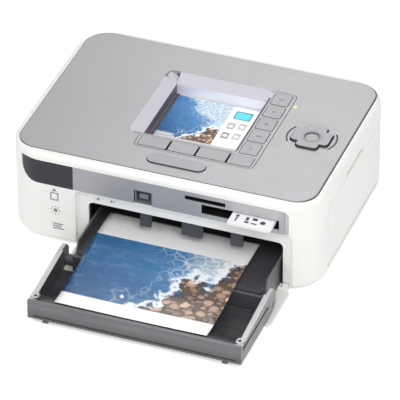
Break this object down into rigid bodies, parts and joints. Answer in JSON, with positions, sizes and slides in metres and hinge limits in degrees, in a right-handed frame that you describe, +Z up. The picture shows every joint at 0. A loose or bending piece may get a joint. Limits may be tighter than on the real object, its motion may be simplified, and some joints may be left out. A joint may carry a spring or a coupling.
{
  "type": "compact photo printer",
  "caption": "Small dye-sublimation photo printer with display, keys, card slots, ink door and a paper cassette with folded-out lid holding a print.",
  "frame": {"origin": "on the table, under the middle of the whole printer with its cassette lid folded out", "axes": "+Z up, +Y towards the printer's back, +X to the printer's right seen from the front"},
  "size_m": [0.178, 0.1984, 0.0588],
  "materials": {
    "case_white": "fine satin texture",
    "panel_silver": "satin silver paint",
    "band_grey": "metallic grey, half gloss",
    "window_dark": "dark translucent, gloss",
    "bezel_grey": "satin",
    "screen": "lit picture behind glass",
    "clear": "clear, polished",
    "key_silver": "satin silver paint",
    "light_green": "clear tinted",
    "board_green": "solder resist",
    "dark_plastic": "fine texture",
    "connector_grey": "satin",
    "card_white": "satin",
    "steel": "bright",
    "zinc_plate": "zinc plated sheet",
    "alloy": "extruded",
    "rubber_black": "matt",
    "gear_nylon": "natural nylon",
    "brass": "turned",
    "ribbon_case": "satin",
    "film": "thin film",
    "cassette_grey": "fine texture",
    "lid_grey": "satin",
    "paper_white": "glossy coated",
    "print": "glossy print"
  },
  "bodies": {
    "printer": {"lower_case": "case_white", "upper_case": "case_white", "top_panel": "panel_silver", "front_band": "band_grey", "ir_window": "window_dark", "lcd_bezel": "bezel_grey", "lcd_module": "screen", "lcd_window": "clear", "status_light": "light_green", "key_board": "board_green", "main_board": "board_green", "card_connector": "connector_grey", "usb_socket": "steel", "dc_inlet": "dark_plastic", "rubber_feet": "rubber_black", "case_screws": "steel", "chassis": "zinc_plate", "sheet_guide": "dark_plastic", "drive_motor": "steel", "head_shaft": "steel", "ribbon_cartridge": "ribbon_case", "ribbon_film": "film"},
    "memory_card": {"memory_card": "card_white"},
    "print_key": {"print_key": "key_silver"},
    "direction_key": {"direction_key": "key_silver"},
    "set_key": {"set_key": "key_silver"},
    "platen_roller": {"platen_roller": "rubber_black"},
    "feed_roller": {"feed_roller": "steel", "feed_gear": "gear_nylon"},
    "pinch_roller": {"pinch_roller": "rubber_black"},
    "pickup_roller": {"pickup_roller": "rubber_black"},
    "motor_pinion": {"motor_pinion": "brass"},
    "idler_gear": {"idler_gear": "gear_nylon"},
    "takeup": {"takeup_gear": "gear_nylon", "takeup_spool": "gear_nylon"},
    "supply_spool": {"supply_spool": "gear_nylon"},
    "thermal_head": {"thermal_head": "alloy"},
    "ink_door": {"ink_door": "case_white", "ink_door_pins": "steel"},
    "front_door": {"front_door": "case_white", "front_door_pins": "steel"},
    "cassette": {"cassette_tray": "cassette_grey", "cassette_cover": "lid_grey", "paper_stack": "paper_white", "printed_sheet": "print"},
    "lift_plate": {"lift_plate": "zinc_plate"},
    "cassette_lid": {"cassette_lid": "lid_grey", "lid_pins": "steel"},
    "side_key_1": {"side_key_1": "key_silver"},
    "side_key_2": {"side_key_2": "key_silver"},
    "side_key_3": {"side_key_3": "key_silver"},
    "side_key_4": {"side_key_4": "key_silver"},
    "side_key_5": {"side_key_5": "key_silver"},
    "front_key_1": {"front_key_1": "key_silver"},
    "front_key_2": {"front_key_2": "key_silver"},
    "front_key_3": {"front_key_3": "key_silver"},
    "front_key_4": {"front_key_4": "key_silver"}
  },
  "joints": [
    {"name": "side_key_1_press", "type": "slide", "parent": "printer", "child": "side_key_1", "axis": [0, 0, -1], "range_m": [0, 0.0006], "stiffness_N_per_m": 300, "springref_m": -0.001},
    {"name": "side_key_2_press", "type": "slide", "parent": "printer", "child": "side_key_2", "axis": [0, 0, -1], "range_m": [0, 0.0006], "stiffness_N_per_m": 300, "springref_m": -0.001},
    {"name": "side_key_3_press", "type": "slide", "parent": "printer", "child": "side_key_3", "axis": [0, 0, -1], "range_m": [0, 0.0006], "stiffness_N_per_m": 300, "springref_m": -0.001},
    {"name": "side_key_4_press", "type": "slide", "parent": "printer", "child": "side_key_4", "axis": [0, 0, -1], "range_m": [0, 0.0006], "stiffness_N_per_m": 300, "springref_m": -0.001},
    {"name": "side_key_5_press", "type": "slide", "parent": "printer", "child": "side_key_5", "axis": [0, 0, -1], "range_m": [0, 0.0006], "stiffness_N_per_m": 300, "springref_m": -0.001},
    {"name": "front_key_1_press", "type": "slide", "parent": "printer", "child": "front_key_1", "axis": [0, 0, -1], "range_m": [0, 0.0006], "stiffness_N_per_m": 300, "springref_m": -0.001},
    {"name": "front_key_2_press", "type": "slide", "parent": "printer", "child": "front_key_2", "axis": [0, 0, -1], "range_m": [0, 0.0006], "stiffness_N_per_m": 300, "springref_m": -0.001},
    {"name": "front_key_3_press", "type": "slide", "parent": "printer", "child": "front_key_3", "axis": [0, 0, -1], "range_m": [0, 0.0006], "stiffness_N_per_m": 300, "springref_m": -0.001},
    {"name": "front_key_4_press", "type": "slide", "parent": "printer", "child": "front_key_4", "axis": [0, 0, -1], "range_m": [0, 0.0006], "stiffness_N_per_m": 300, "springref_m": -0.001},
    {"name": "print_key_press", "type": "slide", "parent": "printer", "child": "print_key", "axis": [0, 0, -1], "range_m": [0, 0.0006], "stiffness_N_per_m": 300, "springref_m": -0.001},
    {"name": "set_key_press", "type": "slide", "parent": "printer", "child": "set_key", "axis": [0, 0, -1], "range_m": [0, 0.0006], "stiffness_N_per_m": 300, "springref_m": -0.001},
    {"name": "direction_key_tilt", "type": "hinge", "parent": "printer", "child": "direction_key", "pos_m": [0.0647, 0.03595, 0.0566], "axis": [0, 1, 0], "range_deg": [-2, 2], "stiffness_Nm_per_rad": 0.05},
    {"name": "card_slide", "type": "slide", "parent": "printer", "child": "memory_card", "axis": [0, -1, 0], "range_m": [0, 0.035]},
    {"name": "feed_spin", "type": "hinge", "parent": "printer", "child": "feed_roller", "pos_m": [0, 0.05365, 0.021], "axis": [1, 0, 0], "continuous": true},
    {"name": "motor_spin", "type": "hinge", "parent": "printer", "child": "motor_pinion", "pos_m": [-0.047, 0.06751, 0.013], "axis": [1, 0, 0], "continuous": true},
    {"name": "idler_spin", "type": "hinge", "parent": "printer", "child": "idler_gear", "pos_m": [-0.047, 0.02688, 0.02582], "axis": [1, 0, 0], "continuous": true},
    {"name": "takeup_spin", "type": "hinge", "parent": "printer", "child": "takeup", "pos_m": [0, 0.00365, 0.0345], "axis": [1, 0, 0], "continuous": true},
    {"name": "supply_spin", "type": "hinge", "parent": "printer", "child": "supply_spool", "pos_m": [0, 0.06765, 0.0345], "axis": [1, 0, 0], "continuous": true},
    {"name": "platen_spin", "type": "hinge", "parent": "printer", "child": "platen_roller", "pos_m": [0.015, 0.03765, 0.02], "axis": [1, 0, 0], "continuous": true},
    {"name": "pinch_spin", "type": "hinge", "parent": "printer", "child": "pinch_roller", "pos_m": [0.015, 0.05365, 0.02835], "axis": [1, 0, 0], "continuous": true},
    {"name": "pickup_spin", "type": "hinge", "parent": "printer", "child": "pickup_roller", "pos_m": [0.015, 0.02565, 0.017], "axis": [1, 0, 0], "continuous": true},
    {"name": "head_lift", "type": "hinge", "parent": "printer", "child": "thermal_head", "pos_m": [0.015, 0.02065, 0.033], "axis": [1, 0, 0], "range_deg": [0, 5]},
    {"name": "ink_door_fold", "type": "hinge", "parent": "printer", "child": "ink_door", "pos_m": [0.0866, 0.03565, 0.0084], "axis": [0, 1, 0], "range_deg": [0, 90]},
    {"name": "front_door_fold", "type": "hinge", "parent": "printer", "child": "front_door", "pos_m": [0.0139, -0.02485, 0.003], "axis": [-1, 0, 0], "range_deg": [0, 1]},
    {"name": "cassette_slide", "type": "slide", "parent": "printer", "child": "cassette", "axis": [0, -1, 0], "range_m": [0, 0.07]},
    {"name": "lift_plate_lift", "type": "hinge", "parent": "cassette", "child": "lift_plate", "pos_m": [0.015, -0.00435, 0.0061], "axis": [1, 0, 0], "range_deg": [0, 2.4], "deforming": ["paper_stack"]},
    {"name": "lid_fold", "type": "hinge", "parent": "cassette", "child": "cassette_lid", "pos_m": [0.0146, -0.05035, 0.0084], "axis": [-1, 0, 0], "range_deg": [0, 95], "deforming": ["printed_sheet"]}
  ],
  "couplings": [
    {"joint": "motor_spin", "follows": "feed_spin", "ratio": -2.3333},
    {"joint": "idler_spin", "follows": "feed_spin", "ratio": -0.7},
    {"joint": "takeup_spin", "follows": "feed_spin", "ratio": 1.2727}
  ]
}
